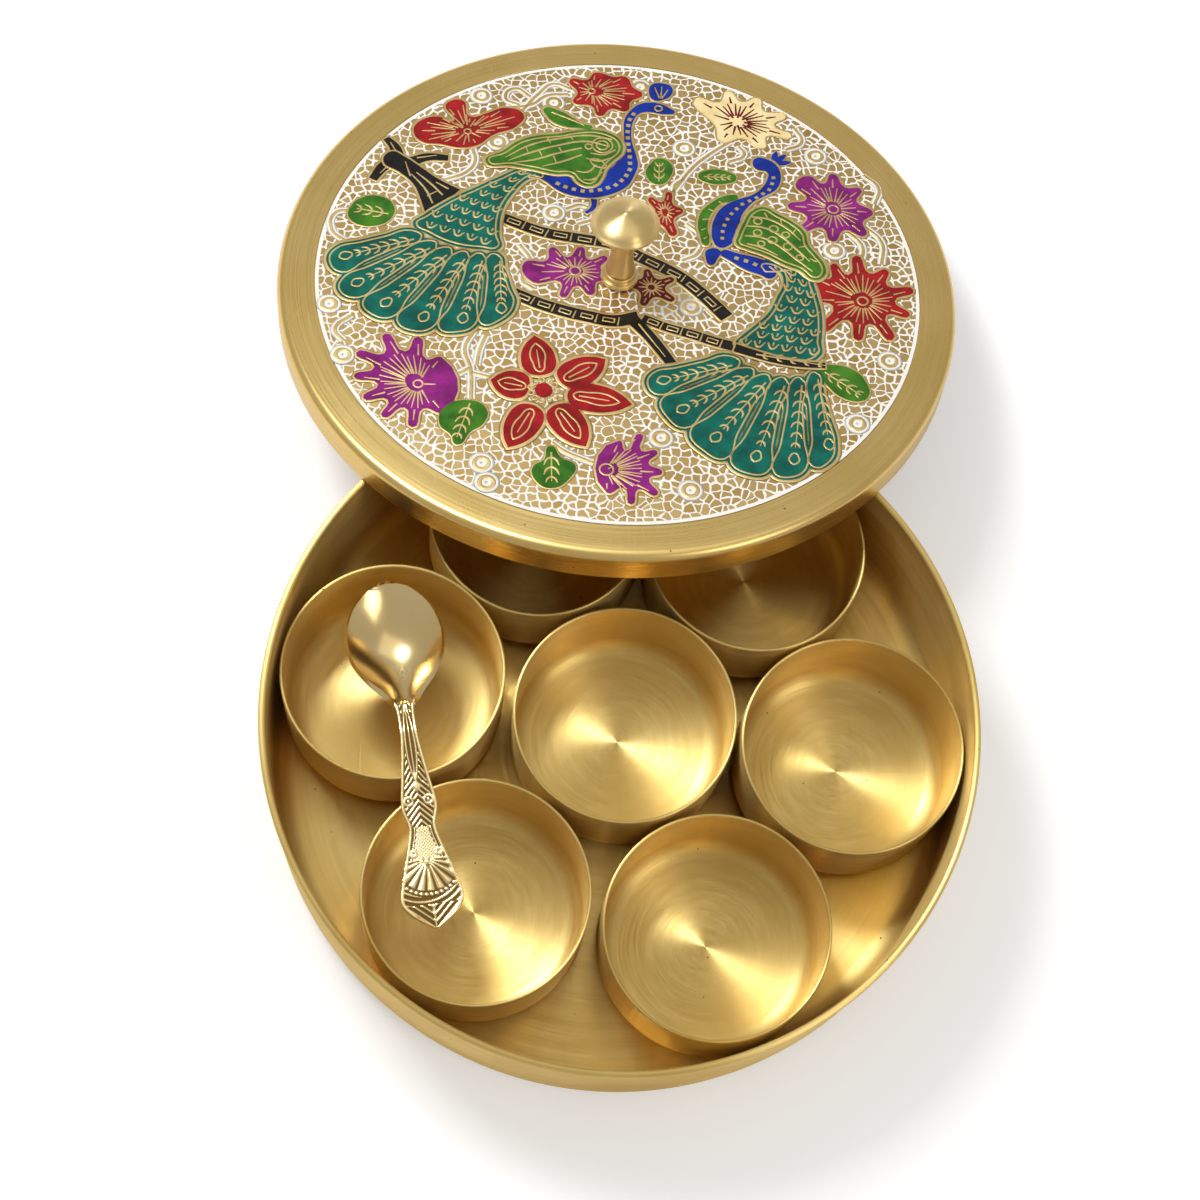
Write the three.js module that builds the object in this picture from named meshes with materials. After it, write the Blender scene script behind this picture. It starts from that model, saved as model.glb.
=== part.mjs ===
// A round brass spice box: an open tray with seven loose cups, a serving spoon lying across two
// cup rims, and an enamelled lid with a turned knob that leans on the tray's rear rim.
// Millimetres, +Z up. The origin is on the table, on the tray's axis; +Y points to the lid.
import * as THREE from "three";
import { mergeVertices } from "three/addons/utils/BufferGeometryUtils.js";

// Driving sizes
const tray = {
  radius: 114, // over the rim bead
  height: 48,
  sheet: 1.2,
  innerCorner: 7,
  bead: 1.1, // radius of the rolled rim
  beadStandout: 0.8, // how far the bead stands out of the wall
};
const cup = {
  height: 35,
  sheet: 1,
  outerCorner: 7.5,
  play: 1.33, // what three cups side by side leave free, a third each
};
const lid = {
  fit: 0.4, // radial clearance over the tray's rim
  sheet: 1.2, // skirt
  plate: 1.6, // top
  height: 11.4,
  edge: 3, // outer rounding between top and skirt
  innerEdge: 1.4,
  border: 12.8, // bare brass round the enamel
  reach: 38.7, // from the tray's rim back to the leaning lid's centre
};
const enamel = { recess: 0.6, thickness: 0.45, bore: 4.4 };
const screw = {
  radius: 1.75,
  length: 17,
  headRadius: 4,
  headHeight: 1.8,
  edge: 0.5,
};
const washer = { radius: 7, thickness: 0.8 };
const collar = { radius: 6.5, base: 2, step: 1.8, stepIn: 1.1, edge: 0.5 };
const knob = {
  height: 28,
  footRadius: 4.9,
  footHeight: 1.2,
  waistRadius: 3.9,
  waistHeight: 12,
  neckRadius: 5, // where the stem meets the head
  neckHeight: 18.2,
  headRadius: 11.6,
  rimHeight: 22.2, // the head's widest ring
  rimEdge: 1, // rounding of that ring
  pointRadius: 1.2, // the small turned point on the dome
  pointHeight: 0.4,
};
const spoon = {
  length: 114,
  bowlHalf: 15.1, // half the bowl's width
  stemHalf: 2.7, // half the stem's least width
  shoulderHalf: 5.6,
  waistHalf: 4.2,
  endHalf: 9.7, // half the handle end's width
  tipHalf: 0.9, // half the blunt width of both tips
  bowlSheet: 1.2,
  stem: 2.2, // thickness of stem and handle
  dish: 6.2, // depth of the bowl
  bowlDrop: 3.4, // from the stem's top down to the bowl's edge
  endRise: 1.2, // from the stem's top up to the handle's tip
  heading: 99.4, // degrees from +X to the bowl's direction
  rimAngle: -77.3, // degrees from +X to where it crosses its cup's rim
};

// Clearances
const seat = 0.3; // between pieces that touch
const tableGap = 0.02; // under the lid's lowest edge

// Places that pieces share
const trayWallOuter = tray.radius - tray.beadStandout;
const trayWallInner = trayWallOuter - tray.sheet;
const cupRadius = trayWallInner / 3 - cup.play;
const cupSeat = tray.sheet + seat;
const cupRim = cupSeat + cup.height;
const cupRing = trayWallInner - cupRadius - 2 * seat; // the furthest place of a cup's axis
const lidInner = tray.radius + lid.fit;
const lidOuter = lidInner + lid.sheet;
const lidUnder = lid.height - lid.plate;
const enamelBottom = lid.height - enamel.recess + seat;
const boreRadius = screw.radius + seat;
const washerTop = lidUnder - seat;
const screwHeadTop = washerTop - washer.thickness - seat;
const screwTip = screwHeadTop + screw.length;
const collarBottom = enamelBottom + enamel.thickness + seat;
const knobBottom = collarBottom + collar.base + collar.step + seat;

// Each cup's direction from the tray's axis in degrees, and its share of the furthest place
const cupPlaceShares = [
  ["cup_right", -5, 0.995],
  ["cup_rear_right", 53, 1],
  ["cup_rear_left", 110.5, 1],
  ["cup_left", 168, 0.987],
  ["cup_front_left", 231, 0.95],
  ["cup_front_right", 294.5, 0.96],
  ["cup_centre", 56, 0.038],
];

// The spoon along its length from the bowl's tip: where it crosses the cup's rim, where the bowl
// ends, and its half width and top height as shares of the named sizes
const spoonRestShare = 0.567;
const bowlEndShare = 0.36;
const spoonOutlineShares = [
  [0, spoon.tipHalf],
  [0.02, 0.47 * spoon.bowlHalf],
  [0.065, 0.79 * spoon.bowlHalf],
  [0.12, 0.96 * spoon.bowlHalf],
  [0.165, spoon.bowlHalf],
  [0.22, 0.92 * spoon.bowlHalf],
  [0.275, 0.68 * spoon.bowlHalf],
  [0.32, 0.38 * spoon.bowlHalf],
  [0.36, 1.15 * spoon.stemHalf],
  [0.44, spoon.stemHalf],
  [0.5, 1.2 * spoon.stemHalf],
  [0.58, 0.8 * spoon.shoulderHalf],
  [0.66, spoon.shoulderHalf],
  [0.72, spoon.waistHalf],
  [0.79, 0.62 * spoon.endHalf],
  [0.86, 0.85 * spoon.endHalf],
  [0.92, spoon.endHalf],
  [0.96, 0.72 * spoon.endHalf],
  [1, spoon.tipHalf],
];
const spoonHeightShares = [
  [0, -0.7 * spoon.bowlDrop],
  [0.17, -spoon.bowlDrop],
  [0.34, -0.55 * spoon.bowlDrop],
  [0.45, 0],
  [0.68, 0],
  [1, spoon.endRise],
];

// Finishes
const brass = (color, roughness) =>
  new THREE.MeshStandardMaterial({ color, roughness, metalness: 1 });
const satinBrass = brass(0xc8a25a, 0.38);
const polishedBrass = brass(0xd8b46a, 0.25);
const antiqueBrass = brass(0xb89a5c, 0.34);
const whiteAndGoldEnamel = new THREE.MeshStandardMaterial({
  color: 0xd9c79a,
  roughness: 0.25,
  metalness: 0.2,
});

// Points of an arc in a profile, angles in degrees
function arc(centreR, centreZ, radius, from, to, steps = 4) {
  const points = [];
  for (let i = 0; i <= steps; i++) {
    const angle = THREE.MathUtils.degToRad(from + ((to - from) * i) / steps);
    points.push([
      centreR + radius * Math.cos(angle),
      centreZ + radius * Math.sin(angle),
    ]);
  }
  return points;
}

// The angle, in degrees, at which a circle in a profile reaches a given distance from the axis
function angleAt(distance, centreR, radius) {
  const cosine = THREE.MathUtils.clamp((distance - centreR) / radius, -1, 1);
  return THREE.MathUtils.radToDeg(Math.acos(cosine));
}

// A turned solid about Z; its profile runs with the metal on its left
function turned(profile, segments) {
  const points = profile.map(([r, z]) => new THREE.Vector2(r, z));
  const geometry = new THREE.LatheGeometry(points, segments);
  geometry.rotateX(Math.PI / 2);
  geometry.deleteAttribute("normal");
  geometry.deleteAttribute("uv");
  const merged = mergeVertices(geometry);
  const corners = merged.index.array;
  const faces = [];
  for (let i = 0; i < corners.length; i += 3) {
    const [a, b, c] = corners.slice(i, i + 3);
    if (a !== b && b !== c && c !== a) faces.push(a, b, c);
  }
  merged.setIndex(faces);
  merged.computeVertexNormals();
  return merged;
}

// A solid through rings of equally many points, closed at both ends
function lofted(rings) {
  const size = rings[0].length;
  const last = (rings.length - 1) * size;
  const faces = [];
  for (let start = 0; start < last; start += size)
    for (let i = 0; i < size; i++) {
      const a = start + i;
      const b = start + ((i + 1) % size);
      faces.push(a, a + size, b, b, a + size, b + size);
    }
  for (let i = 1; i + 1 < size; i++) {
    faces.push(0, i, i + 1);
    faces.push(last, last + i + 1, last + i);
  }
  const geometry = new THREE.BufferGeometry();
  const positions = new THREE.Float32BufferAttribute(rings.flat(2), 3);
  geometry.setAttribute("position", positions);
  geometry.setIndex(faces);
  geometry.computeVertexNormals();
  return geometry;
}

// A value read between the rows of a table, eased so that it is level at each row
function eased(rows, at) {
  const next = rows.findIndex(([place]) => place >= at);
  if (next <= 0) return rows[0][1];
  const [[fromPlace, from], [toPlace, to]] = [rows[next - 1], rows[next]];
  const step = THREE.MathUtils.smoothstep(at, fromPlace, toPlace);
  return THREE.MathUtils.lerp(from, to, step);
}

function piece(name, geometry, material) {
  const mesh = new THREE.Mesh(geometry, material);
  mesh.name = name;
  return mesh;
}

// The tray: flat floor, rounded corner, upright wall and a bead rolled outwards
function trayGeometry() {
  const outerCorner = tray.innerCorner + tray.sheet;
  const innerCornerR = trayWallInner - tray.innerCorner;
  const beadR = tray.radius - tray.bead;
  const beadFrom = -angleAt(trayWallOuter, beadR, tray.bead);
  const beadTo = 360 - angleAt(trayWallInner, beadR, tray.bead);
  return turned(
    [
      [0, 0],
      ...arc(trayWallOuter - outerCorner, outerCorner, outerCorner, -90, 0),
      ...arc(beadR, tray.height - tray.bead, tray.bead, beadFrom, beadTo, 7),
      ...arc(innerCornerR, tray.sheet + tray.innerCorner, tray.innerCorner, 0, -90),
      [0, tray.sheet],
    ],
    60,
  );
}

// A cup: thin sheet with a rounded foot and a rounded rim
function cupGeometry() {
  const inner = cup.outerCorner - cup.sheet;
  const cornerR = cupRadius - cup.outerCorner;
  const rimR = cupRadius - cup.sheet / 2;
  return turned(
    [
      [0, 0],
      ...arc(cornerR, cup.outerCorner, cup.outerCorner, -90, 0, 3),
      ...arc(rimR, cup.height - cup.sheet / 2, cup.sheet / 2, 0, 180, 2),
      ...arc(cornerR, cup.outerCorner, inner, 0, -90, 3),
      [0, cup.sheet],
    ],
    32,
  );
}

function cupPlace(name) {
  const [, degrees, share] = cupPlaceShares.find(([cupName]) => cupName === name);
  const angle = THREE.MathUtils.degToRad(degrees);
  const distance = share * cupRing;
  return new THREE.Vector3(
    distance * Math.cos(angle),
    distance * Math.sin(angle),
    cupSeat,
  );
}

// The lid's shell: a flat plate with a shallow recess for the enamel, and a short skirt
function lidShellGeometry() {
  const recessFloor = lid.height - enamel.recess;
  const recessRadius = lidOuter - lid.border + seat;
  return turned(
    [
      [boreRadius, lidUnder],
      ...arc(lidInner - lid.innerEdge, lidUnder - lid.innerEdge, lid.innerEdge, 90, 0, 2),
      [lidInner, 0],
      [lidOuter, 0],
      ...arc(lidOuter - lid.edge, lid.height - lid.edge, lid.edge, 0, 90, 3),
      [recessRadius, lid.height],
      [recessRadius, recessFloor],
      [boreRadius, recessFloor],
      [boreRadius, lidUnder],
    ],
    60,
  );
}

// A flat ring between two heights
function ringGeometry(inner, outer, bottom, top, segments) {
  return turned(
    [
      [inner, bottom],
      [outer, bottom],
      [outer, top],
      [inner, top],
      [inner, bottom],
    ],
    segments,
  );
}

// The stepped ring under the knob
function collarGeometry() {
  const stepRadius = collar.radius - collar.stepIn;
  const top = collar.base + collar.step;
  return turned(
    [
      [boreRadius, 0],
      [collar.radius, 0],
      [collar.radius, collar.base - collar.edge],
      [collar.radius - collar.edge, collar.base],
      [stepRadius, collar.base],
      [stepRadius, top - collar.edge],
      [stepRadius - collar.edge, top],
      [boreRadius, top],
      [boreRadius, 0],
    ],
    20,
  );
}

// The knob: a waisted stem under a shallow domed head, bored from below for its screw
function knobGeometry() {
  const boreDepth = screwTip - knobBottom + seat;
  const headTop = knob.height - knob.pointHeight;
  const stem = new THREE.SplineCurve([
    new THREE.Vector2(knob.footRadius, knob.footHeight),
    new THREE.Vector2(
      THREE.MathUtils.lerp(knob.footRadius, knob.waistRadius, 0.8),
      THREE.MathUtils.lerp(knob.footHeight, knob.waistHeight, 0.4),
    ),
    new THREE.Vector2(knob.waistRadius, knob.waistHeight),
    new THREE.Vector2(knob.neckRadius, knob.neckHeight),
  ]);
  const dome = [];
  const domeSteps = 4;
  const domeFoot = knob.rimHeight + knob.rimEdge;
  const domeRadius = knob.headRadius - knob.rimEdge;
  for (let i = 1; i < domeSteps; i++) {
    const angle = (i / domeSteps) * (Math.PI / 2);
    const r = domeRadius * Math.cos(angle);
    dome.push([r, domeFoot + (headTop - domeFoot) * Math.sin(angle)]);
  }
  return turned(
    [
      [0, boreDepth],
      [boreRadius, boreDepth],
      [boreRadius, 0],
      [knob.footRadius, 0],
      ...stem.getPoints(6).map((point) => [point.x, point.y]),
      ...arc(domeRadius, knob.rimHeight, knob.rimEdge, -60, 90, 4),
      ...dome,
      [knob.pointRadius, headTop],
      [0, knob.height],
    ],
    24,
  );
}

// The screw that holds the knob from under the lid
function screwGeometry() {
  const headBottom = screwHeadTop - screw.headHeight;
  return turned(
    [
      [0, headBottom],
      [screw.headRadius - screw.edge, headBottom],
      [screw.headRadius, headBottom + screw.edge],
      [screw.headRadius, screwHeadTop],
      [screw.radius, screwHeadTop],
      [screw.radius, screwTip - screw.edge],
      [screw.radius - screw.edge, screwTip],
      [0, screwTip],
    ],
    16,
  );
}

// How far the lid is clear of the tray's rim at a given tilt, its rear edge on the table
function rimClearance(tilt, centreY) {
  const centreZ = lidOuter * Math.sin(tilt) + tableGap;
  const [sine, cosine] = [Math.sin(tilt), Math.cos(tilt)];
  const samples = 720;
  let least = Infinity;
  for (const [r, z] of arc(tray.radius - tray.bead, tray.height - tray.bead, tray.bead, 0, 90, 2))
    for (let i = 0; i < samples; i++) {
      const angle = (i / samples) * 2 * Math.PI;
      const [x, y] = [r * Math.cos(angle), r * Math.sin(angle) - centreY];
      const above = y * sine + (z - centreZ) * cosine;
      const fromAxis = Math.hypot(x, y * cosine - (z - centreZ) * sine);
      if (fromAxis > lidOuter + seat) continue;
      const underSkirt = fromAxis > lidInner - seat;
      least = Math.min(least, (underSkirt ? 0 : lidUnder) - above);
    }
  return least;
}

// The least tilt at which the leaning lid clears the rim by the seat gap
function leanTilt(centreY) {
  let [touching, clear] = [0, Math.PI / 4];
  for (let i = 0; i < 40; i++) {
    const tilt = (touching + clear) / 2;
    if (rimClearance(tilt, centreY) < seat) touching = tilt;
    else clear = tilt;
  }
  return clear;
}

// The lid with its enamel and its screwed knob, leaning on the rim and standing on the table
function leaningLid() {
  const group = new THREE.Group();
  const centreY = tray.radius + lid.reach;
  const tilt = leanTilt(centreY);
  group.position.set(0, centreY, lidOuter * Math.sin(tilt) + tableGap);
  group.rotation.x = -tilt;
  const enamelRing = ringGeometry(
    enamel.bore,
    lidOuter - lid.border,
    enamelBottom,
    enamelBottom + enamel.thickness,
    48,
  );
  const washerRing = ringGeometry(
    boreRadius,
    washer.radius,
    washerTop - washer.thickness,
    washerTop,
    16,
  );
  const knobCollar = piece("knob_collar", collarGeometry(), polishedBrass);
  knobCollar.position.z = collarBottom;
  const lidKnob = piece("knob", knobGeometry(), polishedBrass);
  lidKnob.position.z = knobBottom;
  group.add(
    piece("lid_shell", lidShellGeometry(), satinBrass),
    piece("lid_enamel", enamelRing, whiteAndGoldEnamel),
    knobCollar,
    lidKnob,
    piece("knob_screw", screwGeometry(), polishedBrass),
    piece("knob_washer", washerRing, polishedBrass),
  );
  return group;
}

// The spoon, its length along +X from the bowl's tip, its underside level with z = 0 at the stem
function spoonGeometry() {
  const outline = new THREE.SplineCurve(
    spoonOutlineShares.map(([share, half]) => new THREE.Vector2(share * spoon.length, half)),
  );
  const across = 6;
  const rings = outline.getPoints(2 * (spoonOutlineShares.length - 1)).map(({ x, y: half }) => {
    const share = x / spoon.length;
    const inBowl = THREE.MathUtils.clamp(share / bowlEndShare, 0, 1);
    const dish = spoon.dish * Math.sin(Math.PI * inBowl) ** 0.8;
    const thick = THREE.MathUtils.lerp(spoon.bowlSheet, spoon.stem, inBowl ** 3);
    const edge = spoon.stem + eased(spoonHeightShares, share);
    const top = [];
    const bottom = [];
    for (let i = 0; i <= across; i++) {
      const side = (2 * i) / across - 1;
      const z = edge - dish * (1 - side * side);
      top.push([x, side * half, z]);
      bottom.unshift([x, side * half, z - thick]);
    }
    return [...top, ...bottom];
  });
  return lofted(rings);
}

// The spoon lies across the rims of two cups, its bowl inside the left one
function lyingSpoon() {
  const mesh = piece("spoon", spoonGeometry(), antiqueBrass);
  const heading = THREE.MathUtils.degToRad(spoon.heading);
  const rimAngle = THREE.MathUtils.degToRad(spoon.rimAngle);
  const rim = cupRadius - cup.sheet / 2;
  const rest = cupPlace("cup_left");
  rest.x += rim * Math.cos(rimAngle);
  rest.y += rim * Math.sin(rimAngle);
  const toTip = spoonRestShare * spoon.length;
  mesh.position.set(
    rest.x + toTip * Math.cos(heading),
    rest.y + toTip * Math.sin(heading),
    cupRim + seat,
  );
  mesh.rotation.z = heading + Math.PI;
  return mesh;
}

const spiceBox = new THREE.Group();
spiceBox.add(piece("tray", trayGeometry(), satinBrass), leaningLid(), lyingSpoon());
for (const [name] of cupPlaceShares) {
  const cupMesh = piece(name, cupGeometry(), satinBrass);
  cupMesh.position.copy(cupPlace(name));
  spiceBox.add(cupMesh);
}

export default spiceBox;
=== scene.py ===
"""A round brass spice box with seven cups, a spoon and an enamelled lid leaning behind it.

Metres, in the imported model's frame. Sizes and the points of profiles and outlines are in mm and
are multiplied by MM where they are used.
"""

import math
from types import SimpleNamespace as Sizes

import bpy
import numpy as np
from mathutils import Matrix, Vector


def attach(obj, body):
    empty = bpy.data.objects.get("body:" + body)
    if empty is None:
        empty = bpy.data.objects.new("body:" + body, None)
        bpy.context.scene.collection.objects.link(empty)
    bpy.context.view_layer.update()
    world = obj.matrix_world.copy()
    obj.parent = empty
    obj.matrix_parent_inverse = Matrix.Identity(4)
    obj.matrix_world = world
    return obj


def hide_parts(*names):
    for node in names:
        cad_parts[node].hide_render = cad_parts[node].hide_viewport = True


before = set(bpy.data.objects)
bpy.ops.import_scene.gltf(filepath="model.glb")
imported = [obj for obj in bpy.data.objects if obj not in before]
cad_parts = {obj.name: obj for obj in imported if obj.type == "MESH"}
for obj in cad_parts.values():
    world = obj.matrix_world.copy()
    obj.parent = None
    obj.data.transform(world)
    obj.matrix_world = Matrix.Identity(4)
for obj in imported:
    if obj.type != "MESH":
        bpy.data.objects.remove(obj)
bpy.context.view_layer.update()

MM = 0.001
TURN = 2 * math.pi

# Sizes of the turned pieces, as in the solids
TRAY = Sizes(radius=114, height=48, sheet=1.2, corner=7, bead=1.1, standout=0.8)
CUP = Sizes(radius=36.003, height=35, sheet=1.0, corner=7.5, seat=1.5)
LID = Sizes(inner=114.4, outer=115.6, plate=1.6, height=11.4, edge=3.0, recess=0.6)
ENAMEL = Sizes(radius=102.8, bore=4.4, top=11.32, bottom=11.05, ring=1.3)
COLLAR = Sizes(radius=6.5, base=2.0, step=1.8, step_in=1.1, bottom=11.85)
SCREW = Sizes(radius=1.75, head=4.0, head_height=1.8, top=8.4, length=17)
WASHER = Sizes(outer=7.0, bottom=8.7, top=9.5)
KNOB_BOTTOM = 15.95
# Radius of the screw's hole
BORE = 2.05
# Each layer of the ornament starts this much above the one under it, the enamel inside a gold
# border this much above the border's middle, and the gold lines on it and the marks a bit more
LAYER = 0.1
FILL_RISE = 0.05
LINE_RISE = 0.08
MARK_RISE = 0.1
# Half the height of a gold wire or border
WIRE_RISE = 0.07
# Thickness of a plate of enamel to each side of its middle, and how much the next one is higher
PLATE_HALF = 0.04
PLATE_STEP = 0.002
# Points of a turned piece and of the spoon that are closer than this become one
TURNED_MERGE = 0.002
SPOON_MERGE = 0.005

# Where the lid leans and the spoon lies, in metres, and where each cup stands, in mm
LID_CENTRE = (0, 0.1527, 0.0287213)
LID_TILT = math.radians(14.3758)
LID_PLACE = Matrix.Translation(LID_CENTRE) @ Matrix.Rotation(-LID_TILT, 4, "X")
CUP_PLACES = {
    "cup_right": (74.73, -6.54),
    "cup_rear_right": (45.37, 60.21),
    "cup_rear_left": (-26.40, 70.62),
    "cup_left": (-72.79, 15.47),
    "cup_front_left": (-45.08, -55.66),
    "cup_front_right": (30.02, -65.86),
    "cup_centre": (1.60, 2.38),
}
# Each cup is turned this many degrees further than the one before, so that their marks differ
CUP_TURN = 67
SPOON_TURN = Matrix.Rotation(math.radians(279.4), 4, "Z")
SPOON_PLACE = Matrix.Translation((-0.07554, 0.04461, 0.0368)) @ SPOON_TURN

# Colours as they look on screen, from 0 to 255: the common one and the deeper one of each
SATIN = ((236, 204, 128), (216, 180, 100))
LID_SATIN = ((236, 202, 128), (224, 188, 110))
BRIGHT = ((242, 214, 152), (234, 200, 130))
ANTIQUE = ((240, 212, 154), (230, 198, 132))
ORNAMENT_GOLD = ((240, 210, 146), (214, 178, 108))
GROUND_GOLD = ((222, 188, 122), (200, 160, 92))
NET_WHITE = (240, 238, 230)
PATINA = (94, 68, 30)
SPECK = (110, 80, 34)
FLOOR_WHITE = (246, 246, 246)
ENAMEL_PAINTS = {
    "teal": ((0, 106, 88), (0, 76, 66)),
    "blue": ((8, 50, 158), (4, 32, 116)),
    "green": ((70, 126, 26), (40, 94, 20)),
    "red": ((168, 24, 26), (124, 10, 14)),
    "dark_red": ((118, 18, 24), (84, 10, 14)),
    "purple": ((148, 34, 126), (108, 18, 92)),
    "black": ((34, 30, 24), (16, 14, 12)),
    "white": ((242, 240, 232), (230, 226, 214)),
    "cream": ((240, 222, 170), (228, 202, 140)),
}


# Material nodes


def paint(colour):
    """The linear colour that shaders take."""
    shares = [value / 255 for value in colour]
    return [s / 12.92 if s <= 0.04045 else ((s + 0.055) / 1.055) ** 2.4 for s in shares] + [1]


def connect(tree, made, inputs):
    """Links or sets the inputs of a node."""
    for key, value in dict(inputs).items():
        if isinstance(value, bpy.types.NodeSocket):
            tree.links.new(value, made.inputs[key])
        else:
            made.inputs[key].default_value = value


def node(tree, kind, inputs=(), **settings):
    """Adds a shader node with its settings and inputs and gives its outputs."""
    made = tree.nodes.new("ShaderNode" + kind)
    for key, value in settings.items():
        setattr(made, key, value)
    connect(tree, made, inputs)
    return made.outputs


def maths(tree, operation, *values):
    return node(tree, "Math", dict(enumerate(values)), operation=operation)[0]


def vectors(tree, operation, inputs):
    return node(tree, "VectorMath", inputs, operation=operation)[0]


def blended(tree, share, first, second):
    """Two colours mixed."""
    return node(tree, "Mix", {"Factor": share, 6: first, 7: second}, data_type="RGBA")[2]


def ranged(tree, value, low, high, new_low=0.0, new_high=1.0):
    return node(tree, "MapRange", dict(enumerate((value, low, high, new_low, new_high))))[0]


def noise(tree, place, scale, detail, roughness=0.5):
    values = {"Vector": place, "Scale": scale, "Detail": detail, "Roughness": roughness}
    return node(tree, "TexNoise", values)


def group_of(name, outputs, inputs=()):
    """An empty node group of plain numbers, each input with its start value."""
    group = bpy.data.node_groups.new(name, "ShaderNodeTree")
    add = group.interface.new_socket
    for label, start in dict(inputs).items():
        add(name=label, in_out="INPUT", socket_type="NodeSocketFloat").default_value = start
    for label in outputs:
        add(name=label, in_out="OUTPUT", socket_type="NodeSocketFloat")
    given = group.nodes.new("NodeGroupInput").outputs
    return group, given, group.nodes.new("NodeGroupOutput")


def turning_marks_group():
    """Fine rings left by the lathe, from the angle and the way along the profile in the UV map."""
    group, _, out = group_of("turning marks", ("Fine", "Broad"))
    spacing, arc_size = 0.4 * MM, 1.5
    parts = node(group, "SeparateXYZ", {0: node(group, "UVMap", uv_map="turning")[0]})
    angle = maths(group, "MULTIPLY", parts[0], TURN)
    rings_along = maths(group, "DIVIDE", parts[1], spacing)
    cosine = maths(group, "MULTIPLY", maths(group, "COSINE", angle), arc_size)
    sine = maths(group, "MULTIPLY", maths(group, "SINE", angle), arc_size)
    for label, share, detail in (("Fine", 1.0, 3), ("Broad", 0.16, 2)):
        step = maths(group, "MULTIPLY", rings_along, share)
        place = node(group, "CombineXYZ", {0: step, 1: cosine, 2: sine})[0]
        connect(group, out, {label: noise(group, place, 1.0, detail, 0.6)[0]})
    return group


def handling_group():
    """Faint scratches, specks and dull patches of handled metal, from the place on the object."""
    group, given, out = group_of("handling", ("Scratches", "Specks", "Patches"), {"Scale": 1.0})
    place = node(group, "TexCoord")["Object"]
    scaled = vectors(group, "SCALE", {0: place, 3: given["Scale"]})

    def stretched(scale, detail, stretch=(1, 1, 1), turn=0.0):
        values = {0: scaled, "Rotation": (0, 0, turn), "Scale": stretch}
        return noise(group, node(group, "Mapping", values)[0], scale, detail)[0]

    scratches = 0.0
    for turn in (0.5, 1.9, 2.8):
        off_middle = maths(group, "SUBTRACT", stretched(260, 1, (1, 0.035, 1), turn), 0.5)
        line = ranged(group, maths(group, "ABSOLUTE", off_middle), 0.0, 0.008, 1.0, 0.0)
        where = ranged(group, stretched(34, 1, turn=turn), 0.56, 0.64)
        scratches = maths(group, "MAXIMUM", scratches, maths(group, "MULTIPLY", line, where))
    specks = ranged(group, stretched(700, 0), 0.88, 0.9)
    connect(group, out, {"Scratches": scratches, "Specks": specks, "Patches": stretched(30, 4)})
    return group


def mottled_group():
    """Slow changes of tone across an enamel, from the place on the object."""
    group, _, out = group_of("mottled", ("Tone",))
    tone = noise(group, node(group, "TexCoord")["Object"], 140, 3, 0.6)[0]
    connect(group, out, {"Tone": ranged(group, tone, 0.35, 0.65)})
    return group


TURNING_MARKS = turning_marks_group()
HANDLING = handling_group()
MOTTLED = mottled_group()


def placed(tree, group, values=()):
    return node(tree, "Group", values, node_tree=group)


def new_material(name):
    material = bpy.data.materials.new(name)
    material.use_nodes = True
    return material, material.node_tree, material.node_tree.nodes["Principled BSDF"]


def patchy(tree, wear, tones):
    return blended(tree, ranged(tree, wear["Patches"], 0.35, 0.7), *map(paint, tones))


def turned_brass(name, tones, roughness, anisotropy):
    """Brass with lathe marks round its axis, small scratches, specks and slightly deeper patches."""
    material, tree, shader = new_material(name)
    marks, wear = placed(tree, TURNING_MARKS), placed(tree, HANDLING)
    base = patchy(tree, wear, tones)
    base = blended(tree, ranged(tree, marks["Broad"], 0.38, 0.62, 0.0, 0.5), base, paint(tones[1]))
    base = blended(tree, maths(tree, "MULTIPLY", wear["Specks"], 1.1), base, paint(SPECK))
    fine = ranged(tree, marks["Fine"], 0.3, 0.7, roughness * 0.8, roughness * 1.2)
    worn = maths(tree, "MULTIPLY", wear["Scratches"], 0.05)
    cut = maths(tree, "MULTIPLY", wear["Scratches"], 0.4)
    relief = {"Height": maths(tree, "SUBTRACT", marks["Fine"], cut), "Distance": 0.01 * MM}
    values = {
        "Base Color": base,
        "Metallic": 1,
        "Roughness": maths(tree, "ADD", fine, worn),
        "Normal": node(tree, "Bump", relief)[0],
        "Anisotropic": anisotropy,
        "Anisotropic Rotation": 0.25,
        "Tangent": node(tree, "Tangent", direction_type="UV_MAP", uv_map="turning")[0],
    }
    connect(tree, shader, values)
    return material


def antique_brass():
    """Polished brass, dark in the recesses of its chased ornament."""
    material, tree, shader = new_material("antique brass")
    wear = placed(tree, HANDLING, {"Scale": 1.4})
    base = patchy(tree, wear, ANTIQUE)
    level = node(tree, "Attribute", attribute_name="chasing")["Fac"]
    raised = ranged(tree, level, 0.1, 0.65)
    worn = ranged(tree, wear["Scratches"], 0.0, 1.0, 0.2, 0.35)
    dull = ranged(tree, raised, 0.0, 1.0, 0.3, 0.0)
    values = {"Base Color": blended(tree, raised, paint(PATINA), base), "Metallic": 1}
    connect(tree, shader, {**values, "Roughness": maths(tree, "ADD", worn, dull)})
    return material


def toned(name, tones, values):
    """An even material that is a little deeper in places."""
    material, tree, shader = new_material(name)
    common, deep = map(paint, tones)
    base = blended(tree, placed(tree, MOTTLED)["Tone"], deep, common)
    connect(tree, shader, {"Base Color": base, **values})
    return material


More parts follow.
